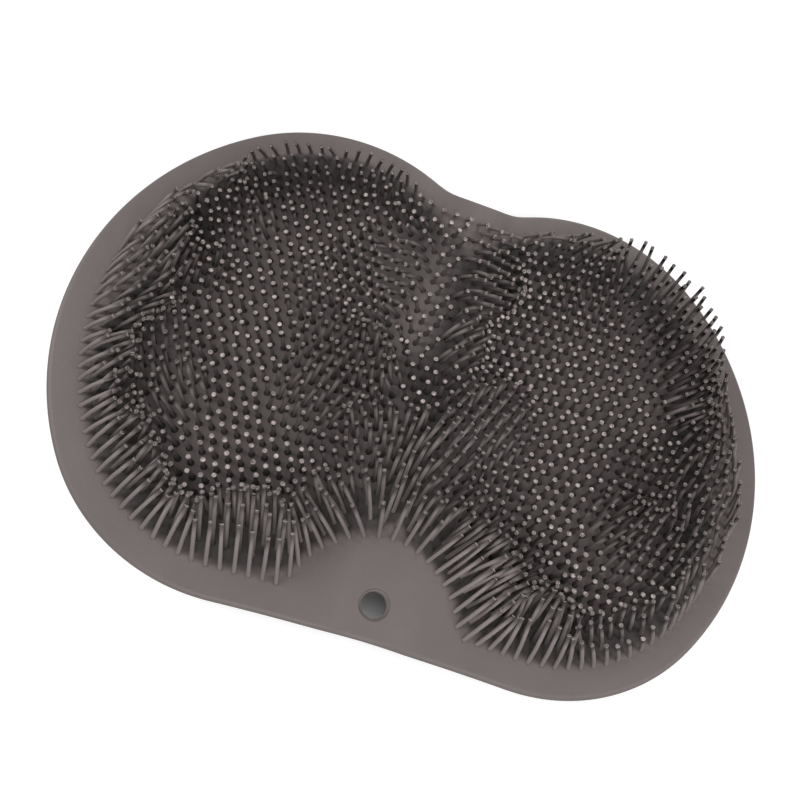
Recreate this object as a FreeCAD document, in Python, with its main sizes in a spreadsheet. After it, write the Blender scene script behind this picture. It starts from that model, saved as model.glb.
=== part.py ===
"""Back scrubber pad: a butterfly-shaped silicone plate with a field of soft bristles on one face,
suction cups on the other and a stepped hanging hole, all moulded as one piece.

Frame: +X along the two lobes, +Y from the hanging hole towards the top notch, +Z out of the bristle
face. The lips of the suction cups stand on Z = 0 and the origin is the bottom centre of the pad.
"""

import FreeCAD, Part

import math
import os

import Sketcher
from FreeCAD import Placement, Rotation, Vector

# Driving sizes in millimetres and degrees
SIZES = {
    # Outline of the plate, as a chain of tangent arcs on each side of the middle line
    "lower_lobe_radius": 102.0,
    "lower_lobe_x": 75.5,
    "lower_lobe_y": -30.5,
    "upper_lobe_radius": 98.5,
    "upper_lobe_x": 70.0,
    "upper_lobe_y": 33.0,
    "side_spare_radius": 14.0,
    "notch_radius": 60.0,
    "waist_radius": 1400.0,
    # Plate, its rounded rim and the raised spine between the lobes
    "plate_thickness": 5.0,
    "root_depth": 0.6,
    "rim_chamfer": 1.7,
    "rim_softening": 0.7,
    "spine_rise": 5.0,
    "spine_crest_radius": 45.0,
    "spine_foot_radius": 60.0,
    # Hanging hole with the step round its mouth, placed from the plate's lower edge
    "hole_diameter": 12.0,
    "hole_mouth_diameter": 14.6,
    "hole_step_depth": 1.5,
    "hole_edge_distance": 16.85,
    # Suction cups on the back, in columns and rows under each lobe
    "cup_height": 9.0,
    "cup_lip_radius": 14.0,
    "cup_lip_width": 0.8,
    "cup_neck_radius": 6.5,
    "cup_neck_length": 2.5,
    "cup_hollow_depth": 4.5,
    "cup_hollow_top_radius": 4.0,
    "cup_first_x": 60.0,
    "cup_first_y": -58.0,
    "cup_column_spacing": 56.0,
    "cup_row_spacing": 50.0,
    # Bristle field, short and upright in the middle of each lobe, long and curled in at its rim
    "field_margin": 14.5,
    "apron_radius": 43.0,
    "apron_drop": 12.25,
    "bristle_pitch": 11.0,
    "bristle_row_spacing": 10.8,
    "bristle_root_radius": 2.0,
    "bristle_tip_radius": 1.25,
    "bristle_short_length": 12.0,
    "bristle_long_length": 22.0,
    "bristle_lean": 30.0,
    "lobe_centre_x": 82.0,
    "lobe_centre_y": -20.0,
    "lobe_reach_x": 78.0,
    "lobe_reach_y": 92.0,
}
CUP_COLUMNS = 2
CUP_ROWS = 3
CUP_SIDES = 12
BRISTLE_SIDES = 3

# The side arc holds both lobe circles: half of what they reach together, and the spare that flattens it
SIDE_RADIUS_RULE = (
    "(sqrt((Sizes.upper_lobe_x - Sizes.lower_lobe_x)^2 + (Sizes.upper_lobe_y - Sizes.lower_lobe_y)^2)"
    " + Sizes.lower_lobe_radius + Sizes.upper_lobe_radius) / 2 + Sizes.side_spare_radius"
)
# How far the hanging hole lies below the origin: the lower edge's drop there, less the distance from it
HOLE_DROP_RULE = (
    "sqrt((Sizes.waist_radius + Sizes.lower_lobe_radius)^2 - Sizes.lower_lobe_x^2)"
    " - Sizes.lower_lobe_y - Sizes.waist_radius - Sizes.hole_edge_distance"
)

NODE = "scrub_pad"

document = FreeCAD.newDocument("BackScrubber")


def make_sheet():
    """Spreadsheet with one named cell for each driving size."""
    sheet = document.addObject("Spreadsheet::Sheet", "Sizes")
    for row, (alias, value) in enumerate(SIZES.items(), start=1):
        sheet.set(f"A{row}", alias)
        sheet.set(f"B{row}", str(value))
        sheet.setAlias(f"B{row}", alias)
    document.recompute()
    return sheet


sheet = make_sheet()


def size(alias):
    """Value of a named cell."""
    return float(getattr(sheet, alias))


def toward(start, target, distance):
    """Point at a distance from start on the line towards target."""
    return start + (target - start).normalize() * distance


def mirrored(point):
    """The same point on the other side of the middle line."""
    return Vector(-point.x, point.y, point.z)


def arc(centre, radius, start, end):
    """Circle arc that runs counter-clockwise from start to end."""
    first = math.atan2(start.y - centre.y, start.x - centre.x)
    last = math.atan2(end.y - centre.y, end.x - centre.x)
    if last < first:
        last += 2 * math.pi
    return Part.ArcOfCircle(Part.Circle(centre, Vector(0, 0, 1), radius), first, last)


class Outline:
    """Arcs of the plate's outline on the +X side, each found from the ones it touches."""

    def __init__(self):
        self.lower = Vector(size("lower_lobe_x"), size("lower_lobe_y"), 0)
        self.upper = Vector(size("upper_lobe_x"), size("upper_lobe_y"), 0)
        self.lower_radius = size("lower_lobe_radius")
        self.upper_radius = size("upper_lobe_radius")
        reach = (self.upper - self.lower).Length + self.lower_radius + self.upper_radius
        self.side_radius = reach / 2 + size("side_spare_radius")
        self.side = self.side_centre()
        self.notch_radius = size("notch_radius")
        reach = self.notch_radius + self.upper_radius
        self.notch = Vector(0, self.upper.y + math.sqrt(reach**2 - self.upper.x**2), 0)
        self.waist_radius = size("waist_radius")
        reach = self.waist_radius + self.lower_radius
        self.waist = Vector(0, self.lower.y - math.sqrt(reach**2 - self.lower.x**2), 0)
        self.hole = Vector(0, self.waist.y + self.waist_radius + size("hole_edge_distance"), 0)

    def side_centre(self):
        """Centre of the side arc, which holds both lobe circles inside it."""
        across = self.upper - self.lower
        along = Vector(across).normalize()
        inward = Vector(-along.y, along.x, 0)
        if inward.x > 0:
            inward = -inward
        to_lower = self.side_radius - self.lower_radius
        to_upper = self.side_radius - self.upper_radius
        step = (across.Length**2 + to_lower**2 - to_upper**2) / (2 * across.Length)
        return self.lower + along * step + inward * math.sqrt(to_lower**2 - step**2)

    def joints(self):
        """Points where neighbouring arcs meet, from the waist round to the notch."""
        return [
            toward(self.waist, self.lower, self.waist_radius),
            toward(self.side, self.lower, self.side_radius),
            toward(self.side, self.upper, self.side_radius),
            toward(self.notch, self.upper, self.notch_radius),
        ]

    def arcs(self):
        """All eight arcs: three up the +X side, the notch, three down the -X side and the waist."""
        waist_end, lower_end, side_end, upper_end = self.joints()
        return [
            arc(self.lower, self.lower_radius, waist_end, lower_end),
            arc(self.side, self.side_radius, lower_end, side_end),
            arc(self.upper, self.upper_radius, side_end, upper_end),
            arc(self.notch, self.notch_radius, mirrored(upper_end), upper_end),
            arc(mirrored(self.upper), self.upper_radius, mirrored(upper_end), mirrored(side_end)),
            arc(mirrored(self.side), self.side_radius, mirrored(side_end), mirrored(lower_end)),
            arc(mirrored(self.lower), self.lower_radius, mirrored(lower_end), mirrored(waist_end)),
            arc(self.waist, self.waist_radius, waist_end, mirrored(waist_end)),
        ]


class Spine:
    """Cross-section of the raised spine: a rounded crest that runs out into two hollow feet."""

    def __init__(self):
        self.back = size("cup_height")
        self.face = self.back + size("plate_thickness")
        self.crest_radius = size("spine_crest_radius")
        self.foot_radius = size("spine_foot_radius")
        self.crest_centre = self.face + size("spine_rise") - self.crest_radius
        self.foot_centre = self.face + self.foot_radius
        reach = self.crest_radius + self.foot_radius
        drop = self.foot_centre - self.crest_centre
        self.half_width = math.sqrt(reach**2 - drop**2)
        self.turn_x = self.half_width * self.crest_radius / reach
        self.turn_z = self.crest_centre + drop * self.crest_radius / reach

    def height(self, x):
        """Height of the bristle face at a distance from the middle line."""
        x = abs(x)
        if x <= self.turn_x:
            return self.crest_centre + math.sqrt(self.crest_radius**2 - x**2)
        if x < self.half_width:
            return self.foot_centre - math.sqrt(self.foot_radius**2 - (self.half_width - x) ** 2)
        return self.face


def origin_plane(body, role):
    """One of the body's own origin planes or axes."""
    for feature in body.Origin.OriginFeatures:
        if feature.Role == role:
            return feature
    raise ValueError(role)


def new_sketch(body, name, role, offset=None):
    """Sketch on an origin plane of the body, moved along the plane's normal by a rule of the sheet."""
    sketch = body.newObject("Sketcher::SketchObject", name)
    sketch.AttachmentSupport = [(origin_plane(body, role), "")]
    sketch.MapMode = "FlatFace"
    if offset:
        sketch.setExpression("AttachmentOffset.Base.z", offset)
    return sketch


def bind(sketch, constraint, name, rule):
    """Add a named dimension and tie it to the sheet."""
    index = sketch.addConstraint(constraint)
    sketch.renameConstraint(index, name)
    sketch.setExpression(f"Constraints.{name}", rule)


def pin(sketch, point, name, across, up):
    """Place a point of the sketch by two rules, each given as its value and its text."""
    for direction, (value, rule) in (("X", across), ("Y", up)):
        constraint = Sketcher.Constraint(f"Distance{direction}", -1, 1, *point, value)
        bind(sketch, constraint, f"{name}_{direction.lower()}", rule)


def draw_outline(sketch, outline):
    """Outline of the plate, with each radius and lobe centre tied to the sheet."""
    sketch.addGeometry(outline.arcs(), False)
    # The two concave arcs, 3 and 7, run against the others, so they are entered at their end
    ends = [(index, 2, 1) if index in (3, 7) else (index, 1, 2) for index in range(8)]
    for (first, _, leaving), (second, arriving, _) in zip(ends, ends[1:] + ends[:1]):
        sketch.addConstraint(Sketcher.Constraint("Tangent", first, leaving, second, arriving))
    lobes = [(0, "lower", "right"), (2, "upper", "right"), (4, "upper", "left"), (6, "lower", "left")]
    for index, level, side in lobes:
        x, y = size(f"{level}_lobe_x"), size(f"{level}_lobe_y")
        across = (-1, 1, index, 3) if side == "right" else (index, 3, -1, 1)
        along = (-1, 1, index, 3) if y > 0 else (index, 3, -1, 1)
        sign = "" if y > 0 else "-"
        name = f"{level}_{side}"
        bind(sketch, Sketcher.Constraint("DistanceX", *across, x), f"{name}_x", f"Sizes.{level}_lobe_x")
        lobe_y = Sketcher.Constraint("DistanceY", *along, abs(y))
        bind(sketch, lobe_y, f"{name}_y", f"{sign}Sizes.{level}_lobe_y")
    lower = (outline.lower_radius, "Sizes.lower_lobe_radius")
    side = (outline.side_radius, SIDE_RADIUS_RULE)
    upper = (outline.upper_radius, "Sizes.upper_lobe_radius")
    notch = (outline.notch_radius, "Sizes.notch_radius")
    waist = (outline.waist_radius, "Sizes.waist_radius")
    for index, (value, rule) in enumerate([lower, side, upper, notch, upper, side, lower, waist]):
        radius = Sketcher.Constraint("Radius", index, value)
        bind(sketch, radius, f"arc_{index}_radius", rule)


def draw_spine(sketch, outline, spine):
    """Region above the bristle face, to be cut from the blank from edge to edge."""
    half = outline.upper.x + outline.side_radius
    headroom = 2 * size("spine_rise")
    foot = Vector(spine.half_width, spine.face, 0)
    turn = Vector(spine.turn_x, spine.turn_z, 0)
    foot_centre = Vector(spine.half_width, spine.foot_centre, 0)
    low = Vector(half, spine.face, 0)
    high = Vector(half, spine.face + headroom, 0)
    sketch.addGeometry(
        [
            Part.LineSegment(foot, low),
            Part.LineSegment(low, high),
            Part.LineSegment(high, mirrored(high)),
            Part.LineSegment(mirrored(high), mirrored(low)),
            Part.LineSegment(mirrored(low), mirrored(foot)),
            arc(mirrored(foot_centre), spine.foot_radius, mirrored(foot), mirrored(turn)),
            arc(Vector(0, spine.crest_centre, 0), spine.crest_radius, turn, mirrored(turn)),
            arc(foot_centre, spine.foot_radius, turn, foot),
        ],
        False,
    )
    for first in range(4):
        sketch.addConstraint(Sketcher.Constraint("Coincident", first, 2, first + 1, 1))
    for index in (0, 4):
        sketch.addConstraint(Sketcher.Constraint("Horizontal", index))
    for index in (1, 3):
        sketch.addConstraint(Sketcher.Constraint("Vertical", index))
    for first, leaving, second, arriving in ((4, 2, 5, 1), (5, 2, 6, 2), (6, 1, 7, 1), (7, 2, 0, 1)):
        sketch.addConstraint(Sketcher.Constraint("Tangent", first, leaving, second, arriving))
    sketch.addConstraint(Sketcher.Constraint("Symmetric", 2, 1, 2, 2, -2))
    sketch.addConstraint(Sketcher.Constraint("PointOnObject", 6, 3, -2))
    reach_rule = f"Sizes.upper_lobe_x + {SIDE_RADIUS_RULE}"
    face_rule = "Sizes.cup_height + Sizes.plate_thickness"
    pin(sketch, (1, 1), "low", (half, reach_rule), (spine.face, face_rule))
    rise = Sketcher.Constraint("DistanceY", 1, 1, 1, 2, headroom)
    bind(sketch, rise, "headroom", "2 * Sizes.spine_rise")
    drop = Sketcher.Constraint("DistanceY", 6, 3, 1, 1, spine.face - spine.crest_centre)
    bind(sketch, drop, "crest_drop", "Sizes.spine_crest_radius - Sizes.spine_rise")
    crest = Sketcher.Constraint("Radius", 6, spine.crest_radius)
    bind(sketch, crest, "crest_radius", "Sizes.spine_crest_radius")
    for index in (5, 7):
        foot_round = Sketcher.Constraint("Radius", index, spine.foot_radius)
        bind(sketch, foot_round, f"foot_{index}_radius", "Sizes.spine_foot_radius")


def draw_groove(sketch, spine):
    """Hollow under the spine, which keeps the plate one thickness all the way across."""
    radius = spine.crest_radius - size("plate_thickness")
    half = math.sqrt(radius**2 - (spine.back - spine.crest_centre) ** 2)
    left = Vector(-half, spine.back, 0)
    right = Vector(half, spine.back, 0)
    roof = arc(Vector(0, spine.crest_centre, 0), radius, right, left)
    sketch.addGeometry([Part.LineSegment(left, right), roof], False)
    sketch.addConstraint(Sketcher.Constraint("Coincident", 0, 1, 1, 2))
    sketch.addConstraint(Sketcher.Constraint("Coincident", 0, 2, 1, 1))
    sketch.addConstraint(Sketcher.Constraint("Horizontal", 0))
    sketch.addConstraint(Sketcher.Constraint("PointOnObject", 1, 3, -2))
    back = Sketcher.Constraint("DistanceY", -1, 1, 0, 2, spine.back)
    bind(sketch, back, "back", "Sizes.cup_height")
    roof_rule = "Sizes.spine_crest_radius - Sizes.plate_thickness"
    bind(sketch, Sketcher.Constraint("Radius", 1, radius), "roof_radius", roof_rule)
    drop = Sketcher.Constraint("DistanceY", 1, 3, 0, 2, spine.back - spine.crest_centre)
    bind(sketch, drop, "roof_drop", f"{roof_rule} - Sizes.spine_rise")


def rim_edges(shape, low):
    """Names of the edges that run round the rim above a height, on the shape's outside."""
    names = []
    for index, edge in enumerate(shape.Edges, start=1):
        straight = isinstance(edge.Curve, Part.Line)
        # The seams that cross a chamfer are short
        if not straight and edge.BoundBox.ZMin > low and edge.Length > 2 * size("rim_chamfer"):
            names.append(f"Edge{index}")
    return names


def add_chamfer(body, name, base, low, rule):
    """Bevel on the edges round the rim that lie above a height."""
    chamfer = body.newObject("PartDesign::Chamfer", name)
    chamfer.Base = (base, rim_edges(base.Shape, low))
    chamfer.setExpression("Size", rule)
    document.recompute()
    return chamfer


def add_hole(body, name, centre, diameter, depth):
    """Round pocket on the hanging hole's axis, from the spine's crest downwards."""
    crest = "Sizes.cup_height + Sizes.plate_thickness + Sizes.spine_rise"
    sketch = new_sketch(body, f"{name}Circle", "XY_Plane", crest)
    sketch.addGeometry(Part.Circle(centre, Vector(0, 0, 1), size(diameter) / 2), False)
    sketch.addConstraint(Sketcher.Constraint("PointOnObject", 0, 3, -2))
    bind(sketch, Sketcher.Constraint("DistanceY", 0, 3, -1, 1, -centre.y), "drop", HOLE_DROP_RULE)
    bind(sketch, Sketcher.Constraint("Diameter", 0, size(diameter)), "diameter", f"Sizes.{diameter}")
    pocket = body.newObject("PartDesign::Pocket", name)
    pocket.Profile = sketch
    if depth:
        pocket.setExpression("Length", depth)
    else:
        pocket.Type = "ThroughAll"
    sketch.Visibility = False
    document.recompute()
    return pocket


def make_plate(outline, spine):
    """Plate with its spine, rounded rim and hanging hole."""
    body = document.addObject("PartDesign::Body", "Plate")
    profile = new_sketch(body, "PlateOutline", "XY_Plane", "Sizes.cup_height")
    draw_outline(profile, outline)
    blank = body.newObject("PartDesign::Pad", "Blank")
    blank.Profile = profile
    blank.setExpression("Length", "Sizes.plate_thickness + Sizes.spine_rise")
    document.recompute()

    section = new_sketch(body, "SpineSection", "XZ_Plane")
    draw_spine(section, outline, spine)
    face = body.newObject("PartDesign::Pocket", "BristleFace")
    face.Profile = section
    face.Type = "ThroughAll"
    face.Midplane = True
    document.recompute()
    # The rim is round: a bevel whose own two edges are bevelled once more
    half = size("plate_thickness") / 2
    rim = add_chamfer(body, "RimChamfer", face, spine.back + half, "Sizes.rim_chamfer")
    soft_rim = add_chamfer(body, "RimSoftening", rim, spine.back + half, "Sizes.rim_softening")

    hollow = new_sketch(body, "GrooveSection", "XZ_Plane")
    draw_groove(hollow, spine)
    groove = body.newObject("PartDesign::Pocket", "SpineGroove")
    groove.Profile = hollow
    groove.Type = "ThroughAll"
    groove.Midplane = True
    document.recompute()

    add_hole(body, "HoleMouth", outline.hole, "hole_mouth_diameter", "Sizes.hole_step_depth")
    hole = add_hole(body, "HangingHole", outline.hole, "hole_diameter", None)

    stages = [blank, face, rim, soft_rim, groove, hole]
    for stage in stages:
        print(stage.Name, stage.State, round(stage.Shape.Volume), len(stage.Shape.Solids))
    return body


def ring(centre, radius, sides):
    """Corners of a level regular polygon, counter-clockwise seen from above."""
    turns = [2 * math.pi * step / sides for step in range(sides)]
    return [centre + Vector(math.cos(turn), math.sin(turn), 0) * radius for turn in turns]


def faceted(rings):
    """Closed solid whose flat sides join each ring of corners to the next one."""
    # The first ring closes the bottom, so it runs the other way round to face outwards
    first, last = rings[0], rings[-1]
    faces = [Part.Face(Part.makePolygon(first[::-1] + first[-1:]))]
    faces.append(Part.Face(Part.makePolygon(last + last[:1])))
    for low, high in zip(rings, rings[1:]):
        for this in range(len(low)):
            following = (this + 1) % len(low)
            corners = [low[this], low[following], high[following], high[this], low[this]]
            faces.append(Part.Face(Part.makePolygon(corners)))
    return Part.Solid(Part.Shell(faces))


def suction_cup(x, y):
    """Suction cup from the roof of its hollow, down to the lip, up its skirt and along its neck."""
    shoulder = size("cup_height") - size("cup_neck_length")
    root = size("cup_height") + size("root_depth")
    profile = [
        (size("cup_hollow_top_radius"), size("cup_hollow_depth")),
        (size("cup_lip_radius") - size("cup_lip_width"), 0),
        (size("cup_lip_radius"), 0),
        (size("cup_neck_radius"), shoulder),
        (size("cup_neck_radius"), root),
    ]
    return faceted([ring(Vector(x, y, z), radius, CUP_SIDES) for radius, z in profile])


def make_cups():
    """Columns and rows of suction cups under each lobe."""
    solids = []
    for column in range(CUP_COLUMNS):
        x = size("cup_first_x") + column * size("cup_column_spacing")
        for row in range(CUP_ROWS):
            y = size("cup_first_y") + row * size("cup_row_spacing")
            solids += [suction_cup(x, y), suction_cup(-x, y)]
    cups = document.addObject("Part::Feature", "SuctionCups")
    cups.Shape = Part.Compound(solids)
    return cups


def smooth(share):
    """Share from 0 to 1 with soft ends."""
    share = min(1.0, max(0.0, share))
    return share * share * (3 - 2 * share)


def bristle(x, y, spine):
    """Tapered bristle that leans towards the middle of its lobe, more so near the lobe's rim."""
    centre_x = math.copysign(size("lobe_centre_x"), x)
    away = Vector(x - centre_x, y - size("lobe_centre_y"), 0)
    share = smooth(math.hypot(away.x / size("lobe_reach_x"), away.y / size("lobe_reach_y")))
    short, long = size("bristle_short_length"), size("bristle_long_length")
    length = short + (long - short) * share
    # On the crest of the spine a bristle stands upright, between the lobes that draw the others
    lean = math.radians(size("bristle_lean")) * share * min(1.0, abs(x) / spine.half_width)
    inward = Vector(0, 0, 0) if lean == 0 else -away.normalize()
    axis = inward * math.sin(lean) + Vector(0, 0, math.cos(lean))
    face = Vector(x, y, spine.height(x))
    root = face - Vector(0, 0, size("root_depth"))
    low = ring(root, size("bristle_root_radius"), BRISTLE_SIDES)
    high = ring(face + axis * length, size("bristle_tip_radius"), BRISTLE_SIDES)
    return faceted([low, high])


def make_bristles(outline, spine):
    """Staggered rows of bristles inside the field, clear of the bare apron round the hole."""
    outline_face = Part.Face(Part.Wire([piece.toShape() for piece in outline.arcs()]))
    field = outline_face.makeOffset2D(-size("field_margin"))
    apron = outline.hole - Vector(0, size("apron_drop"), 0)
    box = field.BoundBox
    pitch, spacing = size("bristle_pitch"), size("bristle_row_spacing")
    solids = []
    for row in range(math.ceil(box.YMin / spacing), math.floor(box.YMax / spacing) + 1):
        stagger = 0.5 if row % 2 else 0.0
        columns = math.ceil(box.XMax / pitch)
        for column in range(-columns, columns + 1):
            spot = Vector((column + stagger) * pitch, row * spacing, 0)
            clear = (spot - apron).Length > size("apron_radius")
            if clear and field.isInside(spot, 0.01, True):
                solids.append(bristle(spot.x, spot.y, spine))
    print("bristles", len(solids))
    field_object = document.addObject("Part::Feature", "Bristles")
    field_object.Shape = Part.Compound(solids)
    return field_object


def check_states():
    """Stop when any object of the document failed."""
    for item in document.Objects:
        if "Invalid" in item.State or "Error" in item.State:
            raise RuntimeError(f"{item.Name}: {item.State}")


def check_shape(item):
    """Stop when a sub-part holds no sound shape."""
    if item.Shape.isNull() or not item.Shape.isValid():
        raise RuntimeError(f"{item.Name}: no sound shape")


outline = Outline()
spine = Spine()
plate = make_plate(outline, spine)
cups = make_cups()
bristles = make_bristles(outline, spine)
pad = document.addObject("Part::MultiFuse", "ScrubPad")
pad.Shapes = [plate, cups, bristles]
pad.Label = NODE
pad.Placement = Placement(Vector(0, 0, 0), Rotation())
document.recompute()
check_states()
for piece in (plate, cups, bristles, pad):
    check_shape(piece)
    print(piece.Label, "solids", len(piece.Shape.Solids), "volume", round(piece.Shape.Volume))
os.makedirs("parts", exist_ok=True)
pad.Shape.Solids[0].exportStep(f"parts/{pad.Label}.step")
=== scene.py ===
"""Back scrubber pad: silicone plate, bristle field and suction cups, lit in a plain studio."""

import logging
import math
import random
from collections.abc import Iterator
from dataclasses import dataclass, field
from enum import Enum

import bmesh
import bpy
from mathutils import Matrix, Quaternion, Vector


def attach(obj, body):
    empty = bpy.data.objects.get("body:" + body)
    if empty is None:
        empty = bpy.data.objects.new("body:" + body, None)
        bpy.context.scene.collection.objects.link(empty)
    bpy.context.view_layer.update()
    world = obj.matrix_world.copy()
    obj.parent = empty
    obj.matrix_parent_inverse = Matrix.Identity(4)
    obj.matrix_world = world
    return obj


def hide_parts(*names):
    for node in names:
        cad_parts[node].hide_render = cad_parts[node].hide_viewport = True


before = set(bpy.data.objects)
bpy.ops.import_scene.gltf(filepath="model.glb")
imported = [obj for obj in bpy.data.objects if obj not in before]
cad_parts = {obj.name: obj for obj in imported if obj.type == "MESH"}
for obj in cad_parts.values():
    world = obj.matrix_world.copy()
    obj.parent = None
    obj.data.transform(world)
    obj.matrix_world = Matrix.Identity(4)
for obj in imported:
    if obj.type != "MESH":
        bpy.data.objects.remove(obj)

logging.basicConfig(level=logging.INFO, format="%(message)s")
log = logging.getLogger("back_scrubber")

BODY = "root"
NODE = "scrub_pad"
MERGE = 1e-6
TURN_SLACK = 0.01
CREASE_ANGLE = 1.0
LEVEL_NORMAL = 0.999
PATCH_END = 2.0
PATCH_FADE = 0.75
UP = Vector((0.0, 0.0, 1.0))
WHITE = (1.0, 1.0, 1.0, 1.0)

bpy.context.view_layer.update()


def smooth(share: float) -> float:
    """Share from 0 to 1 with soft ends.

    Args:
        share: Any number; it is held between 0 and 1.

    Returns:
        The eased share.
    """
    share = min(1.0, max(0.0, share))
    return share * share * (3.0 - 2.0 * share)


def toward(start: Vector, target: Vector, distance: float) -> Vector:
    """Point at a distance from start on the line towards target.

    Args:
        start: First point.
        target: Point that gives the direction.
        distance: Length of the step in metres.

    Returns:
        The new point.
    """
    return start + (target - start).normalized() * distance


@dataclass
class Arc:
    """Circle arc in plan. A positive angle runs counter-clockwise; inside is -1 or +1 along the radius."""

    centre: Vector
    radius: float
    start: Vector
    end: Vector
    inside: int

    def sweep(self) -> float:
        """Signed angle from start to end in radians, the short way round."""
        first = self.start - self.centre
        last = self.end - self.centre
        return math.atan2(first.x * last.y - first.y * last.x, first.dot(last))

    def offset(self, distance: float) -> "Arc":
        """Same arc moved towards the inside of the plate.

        Args:
            distance: Shift in metres.

        Returns:
            The new arc.
        """
        radius = self.radius + self.inside * distance
        start = toward(self.centre, self.start, radius)
        end = toward(self.centre, self.end, radius)
        return Arc(self.centre, radius, start, end, self.inside)

    def mirrored(self) -> "Arc":
        """Same arc on the other side of the middle line."""
        flip = Vector((-1.0, 1.0, 1.0))
        return Arc(self.centre * flip, self.radius, self.end * flip, self.start * flip, self.inside)

    def faces(self, spot: Vector) -> bool:
        """Whether the nearest point of the arc's circle lies on the arc."""
        first = self.start - self.centre
        here = spot - self.centre
        turn = math.atan2(first.x * here.y - first.y * here.x, first.dot(here))
        sweep = self.sweep()
        return min(0.0, sweep) - TURN_SLACK <= turn <= max(0.0, sweep) + TURN_SLACK

    def depth(self, spot: Vector) -> float:
        """How far inside the arc a spot lies, in metres."""
        return self.inside * ((spot - self.centre).length - self.radius)

    def inward(self, spot: Vector) -> Vector:
        """Unit vector at a spot that points away from the arc into the plate."""
        return (spot - self.centre).normalized() * self.inside

    def stations(self, pitch: float) -> list[Vector]:
        """Evenly spaced points from the arc's start up to its end, which is left out.

        Args:
            pitch: Wanted spacing in metres.

        Returns:
            The points.
        """
        count = max(1, round(abs(self.sweep()) * self.radius / pitch))
        first = self.start - self.centre
        turns = [Matrix.Rotation(self.sweep() * step / count, 3, "Z") for step in range(count)]
        return [self.centre + turn @ first for turn in turns]


@dataclass
class Outline:
    """Chain of tangent arcs round the plate, in metres."""

    lower_lobe: Vector = field(default_factory=lambda: Vector((0.0755, -0.0305, 0.0)))
    lower_radius: float = 0.102
    upper_lobe: Vector = field(default_factory=lambda: Vector((0.070, 0.033, 0.0)))
    upper_radius: float = 0.0985
    side_spare_radius: float = 0.014
    notch_radius: float = 0.060
    waist_radius: float = 1.400

    @property
    def side_radius(self) -> float:
        """Radius of the side arc: half of what the lobe circles reach together, and its spare."""
        reach = (self.upper_lobe - self.lower_lobe).length + self.lower_radius + self.upper_radius
        return reach / 2.0 + self.side_spare_radius

    def side_centre(self) -> Vector:
        """Centre of the side arc, which holds both lobe circles inside it."""
        across = self.upper_lobe - self.lower_lobe
        along = across.normalized()
        inward = Vector((-along.y, along.x, 0.0))
        to_lower = self.side_radius - self.lower_radius
        to_upper = self.side_radius - self.upper_radius
        step = (across.length_squared + to_lower**2 - to_upper**2) / (2.0 * across.length)
        return self.lower_lobe + along * step + inward * math.sqrt(to_lower**2 - step**2)

    def half(self) -> list[Arc]:
        """Arcs of the +X side, from the middle of the waist up to the middle of the notch."""
        reach = self.notch_radius + self.upper_radius
        notch = Vector((0.0, self.upper_lobe.y + math.sqrt(reach**2 - self.upper_lobe.x**2), 0.0))
        reach = self.waist_radius + self.lower_radius
        waist = Vector((0.0, self.lower_lobe.y - math.sqrt(reach**2 - self.lower_lobe.x**2), 0.0))
        side = self.side_centre()
        bottom = waist + Vector((0.0, self.waist_radius, 0.0))
        top = notch - Vector((0.0, self.notch_radius, 0.0))
        joints = [
            toward(waist, self.lower_lobe, self.waist_radius),
            toward(side, self.lower_lobe, self.side_radius),
            toward(side, self.upper_lobe, self.side_radius),
            toward(notch, self.upper_lobe, self.notch_radius),
        ]
        return [
            Arc(waist, self.waist_radius, bottom, joints[0], 1),
            Arc(self.lower_lobe, self.lower_radius, joints[0], joints[1], -1),
            Arc(side, self.side_radius, joints[1], joints[2], -1),
            Arc(self.upper_lobe, self.upper_radius, joints[2], joints[3], -1),
            Arc(notch, self.notch_radius, joints[3], top, 1),
        ]

    def ring(self, margin: float) -> list[Arc]:
        """All arcs of the outline moved inwards.

        Args:
            margin: Distance from the outline in metres.

        Returns:
            Arcs of the +X side from the waist up, then those of the -X side from the notch down.
        """
        right = [arc.offset(margin) for arc in self.half()]
        return right + [arc.mirrored() for arc in reversed(right)]


@dataclass
class Spine:
    """Raised spine between the lobes: a round crest that runs out into two hollow feet."""

    back: float = 0.009
    thickness: float = 0.005
    rise: float = 0.005
    crest_radius: float = 0.045
    foot_radius: float = 0.060

    @property
    def face(self) -> float:
        """Height of the flat bristle face."""
        return self.back + self.thickness

    @property
    def crest_centre(self) -> float:
        """Height of the crest's axis."""
        return self.face + self.rise - self.crest_radius

    @property
    def half_width(self) -> float:
        """Distance from the middle line at which the face is flat again."""
        reach = self.crest_radius + self.foot_radius
        return math.sqrt(reach**2 - (self.face + self.foot_radius - self.crest_centre) ** 2)

    def height(self, x: float) -> float:
        """Height of the bristle face.

        Args:
            x: Place across the pad in metres.

        Returns:
            Height above the floor in metres.
        """
        x = abs(x)
        half = self.half_width
        if x >= half:
            return self.face
        if x <= half * self.crest_radius / (self.crest_radius + self.foot_radius):
            return self.crest_centre + math.sqrt(self.crest_radius**2 - x**2)
        return self.face + self.foot_radius - math.sqrt(self.foot_radius**2 - (half - x) ** 2)

    def back_height(self, x: float) -> float:
        """Height of the back face, which is hollow under the crest."""
        radius = self.crest_radius - self.thickness
        if abs(x) >= radius:
            return self.back
        return max(self.back, self.crest_centre + math.sqrt(radius**2 - x**2))


@dataclass(frozen=True)
class Finish:
    """Moulded silicone: colour and satin, with the mottling and grain of its skin."""

    name: str
    colour: tuple[float, float, float]
    roughness: float
    mottle: float
    grain: float
    # Painted light that the colour carries: 'field' for the painted shade between the bristles, 'shaft' for
    # the bristles' painted foot shade and tip highlight
    shading: str = ""


PAD_FINISH = Finish("pad_silicone", (0.152, 0.128, 0.124), 0.50, 0.10, 0.35, "field")
# The bristles' silicone is lighter than the plate's: partly the thin silicone's paler look, partly painted
# light on the shafts' lit sides
BRISTLE_FINISH = Finish("bristle_silicone", (0.258, 0.224, 0.217), 0.42, 0.06, 0.15, "shaft")
CUP_FINISH = Finish("cup_silicone", (0.170, 0.151, 0.145), 0.34, 0.06, 0.20)


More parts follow.
